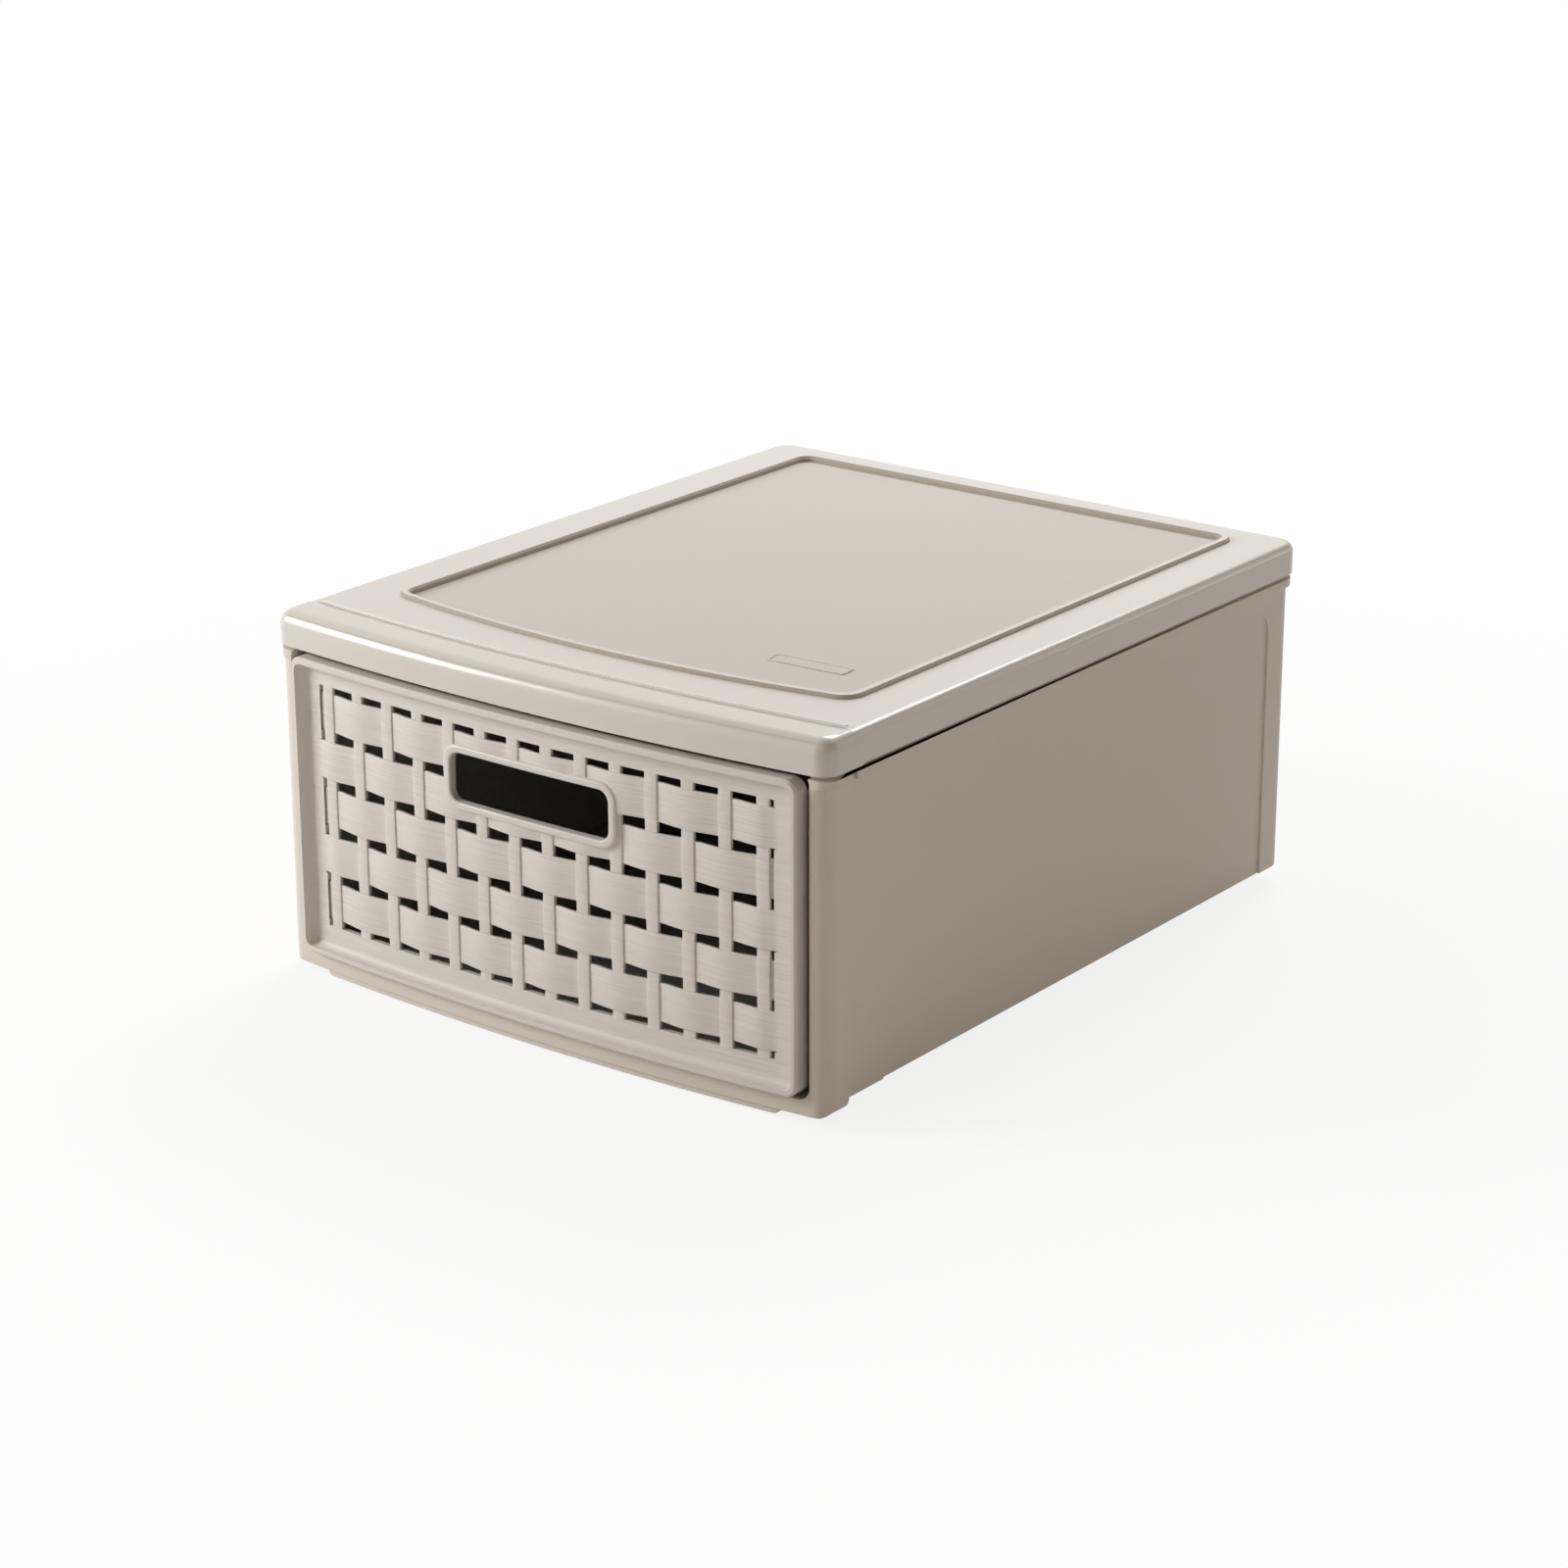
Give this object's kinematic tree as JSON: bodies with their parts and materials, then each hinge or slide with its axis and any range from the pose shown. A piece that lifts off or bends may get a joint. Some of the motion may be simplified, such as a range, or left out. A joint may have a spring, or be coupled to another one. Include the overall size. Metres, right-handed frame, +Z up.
{
  "type": "stackable drawer box",
  "caption": "Low plastic storage box with a full-width sliding drawer: bowed basket-weave drawer front with a grip hole, and a pressed-on lid whose bead locates a box stacked above.",
  "frame": {"origin": "middle of the footprint, on the plane that the feet stand on", "axes": "+Z up, -Y out of the front, +X to the right seen from the front"},
  "size_m": [0.33, 0.411, 0.1825],
  "materials": {
    "housing": "satin moulded polypropylene, warm pale grey",
    "lid": "satin rim and bead round a fine matte panel",
    "drawer": "matte moulded basket weave with a satin rim"
  },
  "bodies": {
    "housing": {"housing": "housing", "lid": "lid"},
    "drawer": {"drawer": "drawer"}
  },
  "joints": [
    {"name": "drawer_slide", "type": "slide", "parent": "housing", "child": "drawer", "axis": [0, -1, 0], "range_m": [0, 0.3]}
  ]
}
